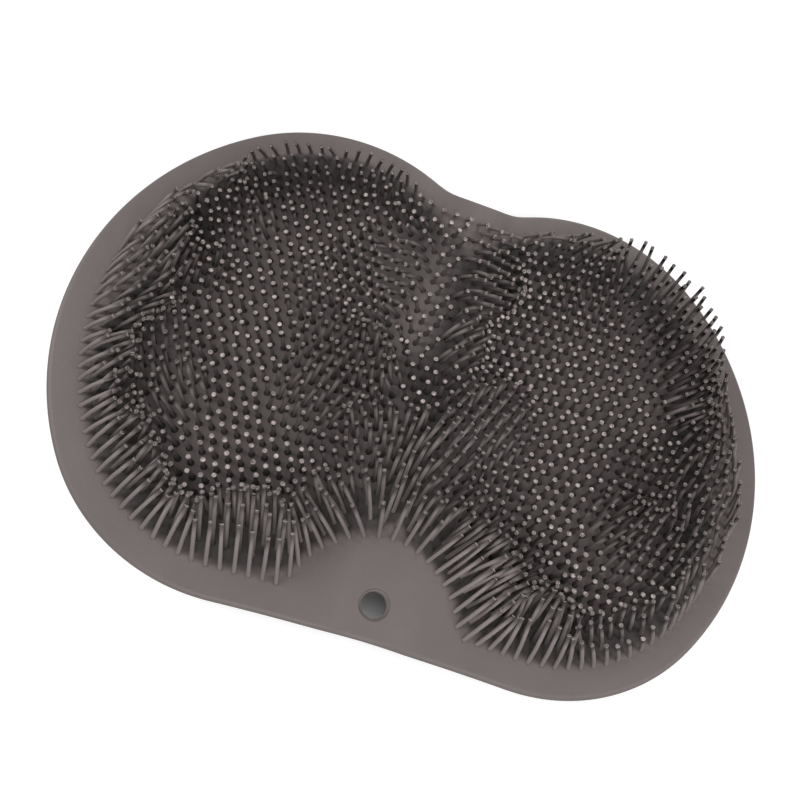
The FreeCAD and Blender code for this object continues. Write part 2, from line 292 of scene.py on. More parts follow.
def stand(name: str, data: bpy.types.ID) -> bpy.types.Object:
    """Put new data into the scene as an object at the origin.

    Args:
        name: Name of the object.
        data: Its mesh, camera or lamp.

    Returns:
        The object.
    """
    item = bpy.data.objects.new(name, data)
    bpy.context.scene.collection.objects.link(item)
    return item


def add_node(tree: bpy.types.NodeTree, kind: str, inputs: dict, **settings: object) -> bpy.types.Node:
    """Add a shader node.

    Args:
        tree: Tree that gets the node.
        kind: Its type, without the leading "ShaderNode".
        inputs: For each input, a socket to link or a value to set.
        settings: Its other properties.

    Returns:
        The node.
    """
    node = tree.nodes.new("ShaderNode" + kind)
    for name, value in settings.items():
        setattr(node, name, value)
    for name, value in inputs.items():
        if isinstance(value, bpy.types.NodeSocket):
            tree.links.new(value, node.inputs[name])
        else:
            node.inputs[name].default_value = value
    return node


def add_ramp(tree: bpy.types.NodeTree, value: bpy.types.NodeSocket, stops: list) -> bpy.types.NodeSocket:
    """Add a colour ramp.

    Args:
        tree: Tree that gets the node.
        value: Value that it follows.
        stops: Place and colour of each stop.

    Returns:
        Its colour output.
    """
    node = add_node(tree, "ValToRGB", {"Fac": value})
    points = node.color_ramp.elements
    for place, _ in stops[1:-1]:
        points.new(place)
    for point, (place, colour) in zip(points, stops):
        point.position = place
        point.color = (*colour, 1.0)
    return node.outputs["Color"]


def distance(tree: bpy.types.NodeTree, place: bpy.types.NodeSocket, centre: object) -> bpy.types.NodeSocket:
    """Add the distance between a place and a fixed point.

    Args:
        tree: Tree that gets the node.
        place: Coordinates of the place.
        centre: The fixed point.

    Returns:
        Its value output.
    """
    return add_node(tree, "VectorMath", {0: place, 1: centre}, operation="DISTANCE").outputs["Value"]


class NodeGroup:
    """Shader node group with a shorthand for its math nodes."""

    def __init__(self, name: str) -> None:
        """Make an empty group.

        Args:
            name: Name of the group.
        """
        self.tree = bpy.data.node_groups.new(name, "ShaderNodeTree")

    def math(self, operation: str, *values: object) -> bpy.types.NodeSocket:
        """Add a math node.

        Args:
            operation: Name of the operation.
            values: Sockets or numbers.

        Returns:
            Its value output.
        """
        return add_node(self.tree, "Math", dict(enumerate(values)), operation=operation).outputs["Value"]


class FieldShade(NodeGroup):
    """Painted shade between the feet of the bristles, which scales the plate's colour: deep under the long
    ones at the rim, lifted along a narrow streak on the crest as a painted highlight.
    """

    reach = 0.040
    stops = ((0.0, 1.0), (0.10, 0.33), (0.40, 0.36), (0.75, 0.98))
    crest_middle = -0.0145
    crest_sides = (0.0, 0.014)
    crest_ends = (0.004, 0.030)
    crest_share = 0.55

    def __init__(self, outline: "Outline", margin: float, apron: Vector, apron_radius: float) -> None:
        """Build the group once.

        Args:
            outline: Outline of the plate.
            margin: Bare margin inside the outline.
            apron: Centre of the bare apron.
            apron_radius: Radius of the bare apron.
        """
        super().__init__("field_shade")
        tree = self.tree
        tree.interface.new_socket("Shade", in_out="OUTPUT", socket_type="NodeSocketFloat")
        here = add_node(tree, "TexCoord", {}).outputs["Object"]
        split = add_node(tree, "SeparateXYZ", {"Vector": here})
        x, y = split.outputs["X"], split.outputs["Y"]
        place = add_node(tree, "CombineXYZ", {"X": self.math("ABSOLUTE", x), "Y": y}).outputs["Vector"]
        to_lower = distance(tree, place, outline.lower_lobe)
        to_upper = distance(tree, place, outline.upper_lobe)
        lower = self.math("SUBTRACT", outline.lower_radius - margin, to_lower)
        upper = self.math("SUBTRACT", outline.upper_radius - margin, to_upper)
        arch = self.math("SUBTRACT", distance(tree, place, apron), apron_radius)
        depth = self.math("MINIMUM", self.math("MAXIMUM", lower, upper), arch)
        stops = [(spot, (shade,) * 3) for spot, shade in self.stops]
        light = add_ramp(tree, self.math("DIVIDE", depth, self.reach), stops)
        off_crest = self.math("ABSOLUTE", self.math("SUBTRACT", x, self.crest_middle))
        off_crest = self.rise(off_crest, *self.crest_sides)
        crest = self.math("MULTIPLY", self.math("SUBTRACT", 1.0, off_crest), self.rise(y, *self.crest_ends))
        crest = self.math("MULTIPLY", crest, self.crest_share)
        loss = self.math("SUBTRACT", 1.0, light)
        loss = self.math("MULTIPLY", loss, self.math("SUBTRACT", 1.0, crest))
        leave = tree.nodes.new("NodeGroupOutput")
        tree.links.new(self.math("SUBTRACT", 1.0, loss), leave.inputs["Shade"])

    def rise(self, value: bpy.types.NodeSocket, start: float, end: float) -> bpy.types.NodeSocket:
        """Soft step from 0 to 1.

        Args:
            value: Value that it follows.
            start: Where it leaves 0.
            end: Where it reaches 1.

        Returns:
            Value output.
        """
        inputs = {"Value": value, "From Min": start, "From Max": end}
        return add_node(self.tree, "MapRange", inputs, interpolation_type="SMOOTHSTEP").outputs["Result"]


class Skin(NodeGroup):
    """Shader node group that gives every silicone surface its mottling, grain and dulled patches."""

    mottle_scale = 28.0
    mottle_detail = 3.0
    grain_scale = 1400.0
    grain_detail = 4.0
    dullness = 0.12
    bump_height = 0.0004

    def __init__(self) -> None:
        """Build the group once."""
        super().__init__("silicone_skin")
        sockets = self.tree.interface
        entries = (("Colour", "Color"), ("Roughness", "Float"), ("Mottle", "Float"), ("Grain", "Float"))
        for name, kind in entries:
            sockets.new_socket(name, in_out="INPUT", socket_type="NodeSocket" + kind)
        for name, kind in (("Colour", "Color"), ("Roughness", "Float"), ("Normal", "Vector")):
            sockets.new_socket(name, in_out="OUTPUT", socket_type="NodeSocket" + kind)
        self.wire()

    def noise(self, place: bpy.types.NodeSocket, scale: float, detail: float) -> bpy.types.NodeSocket:
        """Add a noise texture.

        Args:
            place: Coordinates that it reads.
            scale: Waves to the metre.
            detail: Number of finer layers.

        Returns:
            Its value output.
        """
        inputs = {"Vector": place, "Scale": scale, "Detail": detail}
        return add_node(self.tree, "TexNoise", inputs).outputs["Fac"]

    def wire(self) -> None:
        """Join the textures between the group's inputs and outputs."""
        tree = self.tree
        entry = tree.nodes.new("NodeGroupInput")
        leave = tree.nodes.new("NodeGroupOutput")
        place = add_node(tree, "TexCoord", {}).outputs["Object"]
        cloud = self.noise(place, self.mottle_scale, self.mottle_detail)
        grain = self.noise(place, self.grain_scale, self.grain_detail)
        swing = self.math("MULTIPLY", self.math("SUBTRACT", cloud, 0.5), 2.0)
        level = self.math("MULTIPLY_ADD", swing, entry.outputs["Mottle"], 1.0)
        inputs = {0: entry.outputs["Colour"], "Scale": level}
        tint = add_node(tree, "VectorMath", inputs, operation="SCALE")
        tree.links.new(tint.outputs["Vector"], leave.inputs["Colour"])
        ripple = self.math("SUBTRACT", grain, 0.5)
        dull = self.math("MULTIPLY_ADD", ripple, self.dullness, entry.outputs["Roughness"])
        tree.links.new(dull, leave.inputs["Roughness"])
        inputs = {"Distance": self.bump_height, "Strength": entry.outputs["Grain"], "Height": grain}
        bump = add_node(tree, "Bump", inputs)
        tree.links.new(bump.outputs["Normal"], leave.inputs["Normal"])


@dataclass
class Dresser:
    """Makes the materials and hands finished meshes to the frame."""

    skin: Skin
    field_shade: FieldShade
    attribute: str = "along"
    # Ramp stops along a bristle: painted shade at the foot, about the plain colour on the shaft, a painted
    # highlight on the tip's ring and painted shade in its dimple
    foot_shade: float = 0.22
    low_stop: tuple[float, float] = (0.40, 0.9)
    shaft_place: float = 0.90
    shaft_shade: float = 1.1
    tip_highlight: float = 3.0
    tip_place: float = 0.95
    dimple_shade: float = 0.12
    ior: float = 1.43

    def material(self, finish: Finish) -> bpy.types.Material:
        """Procedural silicone in one finish.

        Args:
            finish: Colour, satin and skin of the surface.

        Returns:
            The material.
        """
        material = bpy.data.materials.new(finish.name)
        material.use_nodes = True
        tree = material.node_tree
        shader = tree.nodes["Principled BSDF"]
        inputs = {"Roughness": finish.roughness, "Mottle": finish.mottle, "Grain": finish.grain}
        skin = add_node(tree, "Group", inputs, node_tree=self.skin.tree)
        skin.inputs["Colour"].default_value = (*finish.colour, 1.0)
        # The bristles' ramp paints their foot shade and tip highlight; the plate's colour is scaled by the
        # painted shade of the field
        if finish.shading == "shaft":
            tree.links.new(self.shaft_colour(tree, finish), skin.inputs["Colour"])
        if finish.shading == "field":
            shade = add_node(tree, "Group", {}, node_tree=self.field_shade.tree)
            inputs = {0: finish.colour, "Scale": shade.outputs["Shade"]}
            tint = add_node(tree, "VectorMath", inputs, operation="SCALE")
            tree.links.new(tint.outputs["Vector"], skin.inputs["Colour"])
        for source, target in (("Colour", "Base Color"), ("Roughness", "Roughness"), ("Normal", "Normal")):
            tree.links.new(skin.outputs[source], shader.inputs[target])
        shader.inputs["IOR"].default_value = self.ior
        return material

    def shaft_colour(self, tree: bpy.types.NodeTree, finish: Finish) -> bpy.types.NodeSocket:
        """Colour along a bristle: painted shade at its foot, about the plain colour on the shaft, a painted
        highlight on the tip's ring and painted shade in its dimple.

        Args:
            tree: Tree that gets the nodes.
            finish: Finish that gives the plain colour.

        Returns:
            Colour socket.
        """
        along = add_node(tree, "Attribute", {}, attribute_name=self.attribute)
        shades = [(0.0, self.foot_shade), self.low_stop, (self.shaft_place, self.shaft_shade)]
        shades += [(self.tip_place, self.tip_highlight), (1.0, self.dimple_shade)]
        stops = [(place, [part * shade for part in finish.colour]) for place, shade in shades]
        return add_ramp(tree, along.outputs["Fac"], stops)

    def piece(self, name: str, mesh: bmesh.types.BMesh, material: bpy.types.Material) -> bpy.types.Object:
        """Turn a bmesh into a piece of the pad.

        Args:
            name: Name of the piece.
            mesh: Its finished form, which is freed.
            material: Its finish.

        Returns:
            The new object, which stands for the moulded pad.
        """
        data = bpy.data.meshes.new(name)
        for face in mesh.faces:
            face.smooth = True
        mesh.to_mesh(data)
        mesh.free()
        data.materials.append(material)
        item = stand(name, data)
        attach(item, BODY)
        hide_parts(NODE)
        log.info("%s: %d faces", name, len(data.polygons))
        return item


@dataclass
class Plate:
    """Butterfly plate with its round rim, raised spine and stepped hanging hole."""

    outline: Outline
    spine: Spine
    dresser: Dresser
    rim_radius: float = 0.0024
    rim_segments: int = 6
    chord: float = 0.003
    spine_step: float = 0.0029
    support: float = 0.0006
    hole_y: float = -0.11375
    hole_radius: float = 0.006
    mouth_radius: float = 0.0073
    mouth_depth: float = 0.0015
    mouth_round: float = 0.0004
    hole_segments: int = 24
    near: float = 1.1

    @property
    def hole(self) -> Vector:
        """Axis of the hanging hole in plan."""
        return Vector((0.0, self.hole_y, 0.0))

    def half_sheet(self) -> bmesh.types.BMesh:
        """Flat +X half of the plate, with half of the hole's mouth cut out of it.

        Returns:
            The half as one face that is cut into strips along the spine.
        """
        mesh = bmesh.new()
        arcs = self.outline.half()
        last = mesh.verts.new(arcs[0].start)
        first = last
        for arc in arcs:
            steps = max(2, round(abs(arc.sweep()) * arc.radius / self.chord))
            last = self.swing(mesh, last, arc.centre, arc.sweep(), steps)
        down = bmesh.ops.extrude_vert_indiv(mesh, verts=[last])["verts"][0]
        down.co = self.hole + Vector((0.0, self.mouth_radius, 0.0))
        last = self.swing(mesh, down, self.hole, -math.pi, self.hole_segments)
        mesh.edges.new((last, first))
        bmesh.ops.contextual_create(mesh, geom=mesh.edges[:])
        for step in range(1, math.ceil(self.spine.half_width / self.spine_step) + 2):
            place = Vector((step * self.spine_step, 0.0, 0.0))
            everything = mesh.verts[:] + mesh.edges[:] + mesh.faces[:]
            bmesh.ops.bisect_plane(mesh, geom=everything, plane_co=place, plane_no=(1, 0, 0), dist=MERGE)
        # A cut that passes close to a corner of the outline goes through the corner
        bmesh.ops.remove_doubles(mesh, verts=mesh.verts[:], dist=self.support)
        return mesh

    @staticmethod
    def swing(mesh: bmesh.types.BMesh, vert: bmesh.types.BMVert, centre: Vector, angle: float,
              steps: int) -> bmesh.types.BMVert:
        """Spin a vertex into an arc of edges.

        Args:
            mesh: Mesh that holds the vertex.
            vert: Vertex at the arc's start.
            centre: Centre of the arc.
            angle: Signed angle in radians.
            steps: Number of edges.

        Returns:
            The vertex at the arc's end.
        """
        spun = bmesh.ops.spin(mesh, geom=[vert], cent=centre, axis=UP, angle=angle, steps=steps)
        return next(item for item in spun["geom_last"] if isinstance(item, bmesh.types.BMVert))

    def build(self) -> bpy.types.Object:
        """Model and dress the plate.

        Returns:
            The plate's object.
        """
        mesh = self.half_sheet()
        everything = mesh.verts[:] + mesh.edges[:] + mesh.faces[:]
        bmesh.ops.mirror(mesh, geom=everything, matrix=Matrix(), merge_dist=MERGE, axis="X")
        bmesh.ops.remove_doubles(mesh, verts=mesh.verts[:], dist=MERGE)
        bmesh.ops.recalc_face_normals(mesh, faces=mesh.faces[:])
        bmesh.ops.solidify(mesh, geom=mesh.faces[:], thickness=self.spine.thickness)
        low = min(vert.co.z for vert in mesh.verts)
        bmesh.ops.translate(mesh, verts=mesh.verts[:], vec=(0.0, 0.0, self.spine.back - low))
        bmesh.ops.recalc_face_normals(mesh, faces=mesh.faces[:])
        self.cut_mouth(mesh)
        self.round_rim(mesh)
        self.raise_spine(mesh)
        return self.dresser.piece("pad_plate", mesh, self.dresser.material(PAD_FINISH))

    def near_hole(self, vert: bmesh.types.BMVert) -> bool:
        """Whether a vertex belongs to the hanging hole."""
        return (Vector((vert.co.x, vert.co.y, 0.0)) - self.hole).length < self.mouth_radius * self.near

    def hole_loop(self, mesh: bmesh.types.BMesh, height: float) -> list[bmesh.types.BMEdge]:
        """Open edges round the hole at one height.

        Args:
            mesh: Mesh of the plate.
            height: Height of the loop.

        Returns:
            Its edges.
        """
        def level(vert: bmesh.types.BMVert) -> bool:
            """Whether a vertex lies on the loop."""
            return self.near_hole(vert) and abs(vert.co.z - height) < MERGE

        return [edge for edge in mesh.edges if edge.is_boundary and all(map(level, edge.verts))]

    def cut_mouth(self, mesh: bmesh.types.BMesh) -> None:
        """Give the hanging hole its wider mouth and the ledge under it.

        Args:
            mesh: Plate whose hole is a plain one.
        """
        walls = [face for face in mesh.faces if all(map(self.near_hole, face.verts))]
        bmesh.ops.delete(mesh, geom=walls, context="FACES_ONLY")
        shrink = self.hole_radius / self.mouth_radius
        space = Matrix.Translation(-self.hole)
        bottom = self.hole_loop(mesh, self.spine.back)
        verts = list({vert for edge in bottom for vert in edge.verts})
        bmesh.ops.scale(mesh, vec=(shrink, shrink, 1.0), space=space, verts=verts)
        ledge = bmesh.ops.extrude_edge_only(mesh, edges=self.hole_loop(mesh, self.spine.face))["geom"]
        verts = [item for item in ledge if isinstance(item, bmesh.types.BMVert)]
        bmesh.ops.translate(mesh, verts=verts, vec=(0.0, 0.0, -self.mouth_depth))
        height = self.spine.face - self.mouth_depth
        inner = bmesh.ops.extrude_edge_only(mesh, edges=self.hole_loop(mesh, height))["geom"]
        verts = [item for item in inner if isinstance(item, bmesh.types.BMVert)]
        bmesh.ops.scale(mesh, vec=(shrink, shrink, 1.0), space=space, verts=verts)
        loops = self.hole_loop(mesh, height) + self.hole_loop(mesh, self.spine.back)
        bmesh.ops.bridge_loops(mesh, edges=loops)
        bmesh.ops.recalc_face_normals(mesh, faces=mesh.faces[:])
        corners = [edge for edge in mesh.edges if all(map(self.near_hole, edge.verts))]
        corners = [edge for edge in corners if edge.is_manifold and edge.calc_face_angle() > CREASE_ANGLE]
        bmesh.ops.bevel(mesh, geom=corners, offset=self.mouth_round, offset_type="OFFSET", segments=2,
                        profile=0.5, affect="EDGES", material=-1)

    def round_rim(self, mesh: bmesh.types.BMesh) -> None:
        """Round the plate's rim and add a narrow band beside it that keeps the faces flat.

        Args:
            mesh: Plate with square edges outside the hole.
        """
        corners = [edge for edge in mesh.edges if edge.is_manifold and edge.calc_face_angle() > CREASE_ANGLE]
        corners = [edge for edge in corners if not any(map(self.near_hole, edge.verts))]
        bmesh.ops.bevel(mesh, geom=corners, offset=self.rim_radius, offset_type="OFFSET",
                        segments=self.rim_segments, profile=0.5, affect="EDGES", material=-1,
                        clamp_overlap=False)
        for side in (1.0, -1.0):
            level = [face for face in mesh.faces if face.normal.z * side > LEVEL_NORMAL]
            level = [face for face in level if not all(map(self.near_hole, face.verts))]
            bmesh.ops.inset_region(mesh, faces=level, thickness=self.support, depth=0.0,
                                   use_even_offset=True)

    def raise_spine(self, mesh: bmesh.types.BMesh) -> None:
        """Lift the middle of the plate into the spine, and hollow its back.

        Args:
            mesh: Flat plate.
        """
        for vert in mesh.verts:
            share = (vert.co.z - self.spine.back) / self.spine.thickness
            top = self.spine.height(vert.co.x)
            bottom = self.spine.back_height(vert.co.x)
            vert.co.z = bottom + (top - bottom) * share


@dataclass
class SuctionCups:
    """Round suction cups on the back, in columns and rows under each lobe."""

    spine: Spine
    dresser: Dresser
    first_x: float = 0.060
    first_y: float = -0.058
    column_spacing: float = 0.056
    row_spacing: float = 0.050
    columns: int = 2
    rows: int = 3
    segments: int = 40
    root: float = 0.0006

    def profile(self) -> list[Vector]:
        """Half section of a cup, from the middle of its hollow over the lip to its root in the plate."""
        hollow = [(0.0, 4.5), (3.0, 4.4), (6.0, 3.9), (9.0, 2.8), (11.5, 1.3), (13.2, 0.0)]
        skirt = [(13.7, 0.0), (14.0, 0.3), (12.6, 1.8), (10.2, 3.6), (8.0, 5.2), (6.9, 6.1), (6.5, 7.0)]
        neck = [(6.5, 8.4), (7.1, 9.0)]
        points = [Vector((x, 0.0, z)) * 0.001 for x, z in hollow + skirt + neck]
        return points + [Vector((points[-1].x, 0.0, self.spine.back + self.root))]

    def build(self) -> bpy.types.Object:
        """Model and dress all the cups.

        Returns:
            Their object.
        """
        mesh = bmesh.new()
        chain = [mesh.verts.new(point) for point in self.profile()]
        edges = [mesh.edges.new(pair) for pair in zip(chain, chain[1:])]
        bmesh.ops.spin(mesh, geom=chain + edges, cent=(0, 0, 0), axis=UP, angle=math.tau,
                       steps=self.segments, use_merge=True)
        bmesh.ops.remove_doubles(mesh, verts=mesh.verts[:], dist=MERGE)
        bmesh.ops.holes_fill(mesh, edges=mesh.edges[:], sides=0)
        bmesh.ops.recalc_face_normals(mesh, faces=mesh.faces[:])
        cup = mesh.verts[:] + mesh.edges[:] + mesh.faces[:]
        for place in self.places():
            copy = bmesh.ops.duplicate(mesh, geom=cup)["geom"]
            verts = [item for item in copy if isinstance(item, bmesh.types.BMVert)]
            bmesh.ops.translate(mesh, verts=verts, vec=place)
        bmesh.ops.delete(mesh, geom=[item for item in cup if isinstance(item, bmesh.types.BMVert)])
        return self.dresser.piece("suction_cups", mesh, self.dresser.material(CUP_FINISH))

    def places(self) -> Iterator[Vector]:
        """Axis of each cup in plan."""
        for column in range(self.columns):
            for row in range(self.rows):
                x = self.first_x + column * self.column_spacing
                y = self.first_y + row * self.row_spacing
                yield Vector((x, y, 0.0))
                yield Vector((-x, y, 0.0))


class Level(Enum):
    """Rings of a bristle from its root to its dimple: share of the length, radius and lift in metres."""

    ROOT = (0.0, 0.00210, -0.0002)
    COLLAR = (0.0, 0.00100, 0.0005)
    LOWER = (0.35, 0.00096, 0.0)
    UPPER = (0.70, 0.00091, 0.0)
    NECK = (1.0, 0.00090, -0.0012)
    FLARE = (1.0, 0.00128, -0.0005)
    LIP = (1.0, 0.00128, 0.0)
    BRIM = (1.0, 0.00074, 0.0)
    DIMPLE = (1.0, 0.00060, -0.0009)

    def station(self, length: float) -> float:
        """Distance of the ring from the root along the bristle."""
        share, _, lift = self.value
        return share * length + lift


@dataclass(frozen=True)
class Combing:
    """Patch of the field whose bristles lie one way, with the part of their length that they lean."""

    x: float
    y: float
    reach: float
    lean: tuple[float, float]
    length: float

    def weight(self, spot: Vector) -> float:
        """How much of the patch a spot takes: all of it in the middle, none past two reaches.

        Args:
            spot: Place in plan.

        Returns:
            Share from 0 to 1.
        """
        gap = math.hypot(spot.x - self.x, spot.y - self.y)
        return smooth(PATCH_END * PATCH_FADE - PATCH_FADE * gap / self.reach)


# How the soft bristles of the photographed pad happen to lie: the values of each patch as in Combing
LEFT_LOBE = (
    (-0.166, 0.028, 0.014, (0.52, 0.50), 0.022),
    (-0.172, -0.005, 0.020, (0.56, 0.36), 0.022),
    (-0.168, -0.034, 0.014, (0.70, 0.16), 0.022),
    (-0.159, -0.064, 0.018, (0.64, 0.42), 0.022),
    (-0.140, -0.096, 0.020, (0.48, 0.55), 0.022),
    (-0.063, -0.112, 0.016, (-0.18, 0.72), 0.024),
    (-0.149, 0.014, 0.011, (0.30, 0.58), 0.020),
    (-0.149, -0.014, 0.010, (0.66, 0.10), 0.017),
    (-0.127, 0.015, 0.012, (0.16, 0.15), 0.014),
    (-0.135, 0.048, 0.014, (0.18, -0.35), 0.016),
    (-0.115, 0.051, 0.012, (-0.45, 0.20), 0.016),
    (-0.104, 0.100, 0.024, (-0.05, -0.45), 0.020),
    (-0.055, 0.043, 0.014, (-0.55, -0.05), 0.013),
    (-0.072, 0.024, 0.012, (-0.20, 0.33), 0.013),
    (-0.131, -0.030, 0.013, (-0.18, 0.34), 0.017),
    (-0.124, -0.048, 0.011, (-0.22, 0.25), 0.020),
    (-0.138, -0.058, 0.010, (0.15, -0.15), 0.015),
    (-0.111, -0.050, 0.008, (-0.42, 0.50), 0.022),
    (-0.112, -0.063, 0.008, (-0.50, 0.08), 0.019),
    (-0.095, -0.064, 0.012, (-0.07, 0.00), 0.012),
    (-0.071, -0.060, 0.020, (-0.08, 0.02), 0.012),
    (-0.056, -0.031, 0.014, (0.23, 0.48), 0.019),
    (-0.051, -0.006, 0.016, (0.08, 0.30), 0.019),
)
MIDDLE = (
    (-0.033, -0.006, 0.012, (-0.26, 0.33), 0.019),
    (-0.019, -0.040, 0.010, (-0.35, 0.40), 0.019),
    (-0.032, -0.055, 0.011, (-0.22, 0.20), 0.017),
    (-0.024, -0.086, 0.011, (-0.58, 0.34), 0.024),
    (0.000, -0.045, 0.013, (0.08, 0.70), 0.021),
    (0.010, -0.040, 0.009, (0.42, 0.62), 0.021),
    (0.017, -0.054, 0.010, (0.32, 0.36), 0.017),
    (0.030, -0.016, 0.018, (0.14, 0.62), 0.017),
    (0.034, -0.094, 0.013, (0.60, 0.66), 0.024),
    (0.003, 0.022, 0.010, (0.55, 0.42), 0.016),
    (-0.034, 0.060, 0.016, (-0.72, -0.40), 0.014),
    (0.010, 0.062, 0.014, (0.74, -0.20), 0.015),
    (0.012, 0.088, 0.014, (0.66, -0.40), 0.013),
    (-0.030, 0.101, 0.009, (-0.30, -0.50), 0.011),
    (-0.012, 0.099, 0.009, (-0.05, -0.45), 0.009),
    (0.008, 0.100, 0.009, (0.45, -0.40), 0.010),
)
RIGHT_LOBE = (
    (0.044, -0.044, 0.010, (-0.15, 0.45), 0.013),
    (0.058, 0.110, 0.014, (0.70, -0.22), 0.019),
    (0.036, 0.086, 0.013, (-0.18, -0.45), 0.014),
    (0.070, 0.088, 0.022, (-0.36, 0.00), 0.015),
    (0.112, 0.085, 0.016, (0.10, 0.06), 0.021),
    (0.128, 0.056, 0.016, (0.16, 0.10), 0.021),
    (0.128, 0.028, 0.007, (0.50, 0.28), 0.020),
    (0.148, 0.018, 0.010, (0.05, 0.20), 0.019),
    (0.165, 0.038, 0.015, (-0.55, 0.26), 0.020),
    (0.172, 0.014, 0.013, (-0.55, 0.28), 0.020),
    (0.144, 0.042, 0.010, (0.10, 0.14), 0.020),
    (0.112, -0.016, 0.013, (-0.06, 0.05), 0.017),
    (0.104, -0.042, 0.009, (0.15, 0.45), 0.021),
    (0.122, -0.048, 0.010, (-0.08, 0.44), 0.020),
    (0.152, -0.010, 0.017, (-0.24, 0.27), 0.020),
    (0.150, -0.038, 0.013, (-0.38, 0.36), 0.020),
    (0.170, -0.040, 0.013, (-0.20, 0.50), 0.021),
    (0.176, -0.010, 0.010, (-0.42, 0.48), 0.021),
    (0.128, -0.064, 0.011, (-0.14, 0.24), 0.013),
    (0.076, -0.112, 0.014, (0.04, 0.74), 0.023),
    (0.100, -0.110, 0.010, (-0.42, 0.52), 0.020),
    (0.100, 0.106, 0.011, (-0.20, 0.26), 0.021),
    (0.120, 0.096, 0.011, (-0.10, 0.30), 0.021),
    (0.139, 0.079, 0.011, (-0.12, 0.36), 0.021),
    (0.154, 0.061, 0.009, (-0.34, 0.32), 0.019),
    (0.162, -0.075, 0.010, (-0.24, 0.62), 0.019),
    (0.148, -0.086, 0.010, (-0.30, 0.50), 0.016),
    (0.132, -0.100, 0.010, (-0.43, 0.34), 0.014),
    (0.116, -0.104, 0.009, (-0.48, 0.36), 0.016),
    (0.138, -0.052, 0.009, (-0.18, 0.31), 0.021),
    (0.102, -0.050, 0.008, (0.14, 0.26), 0.021),
    (0.113, -0.061, 0.008, (0.01, 0.29), 0.019),
)


@dataclass
class Bristle:
    """One bristle: its place in plan, the part of its length that it leans, how bent it is, its length.

    At the field's edge its foot lies bare, which is a share of the shaft that the painted shade of the field
    leaves out; it also makes the root smaller.
    """

    spot: Vector
    lean: Vector
    bend: float
    length: float
    bare: float


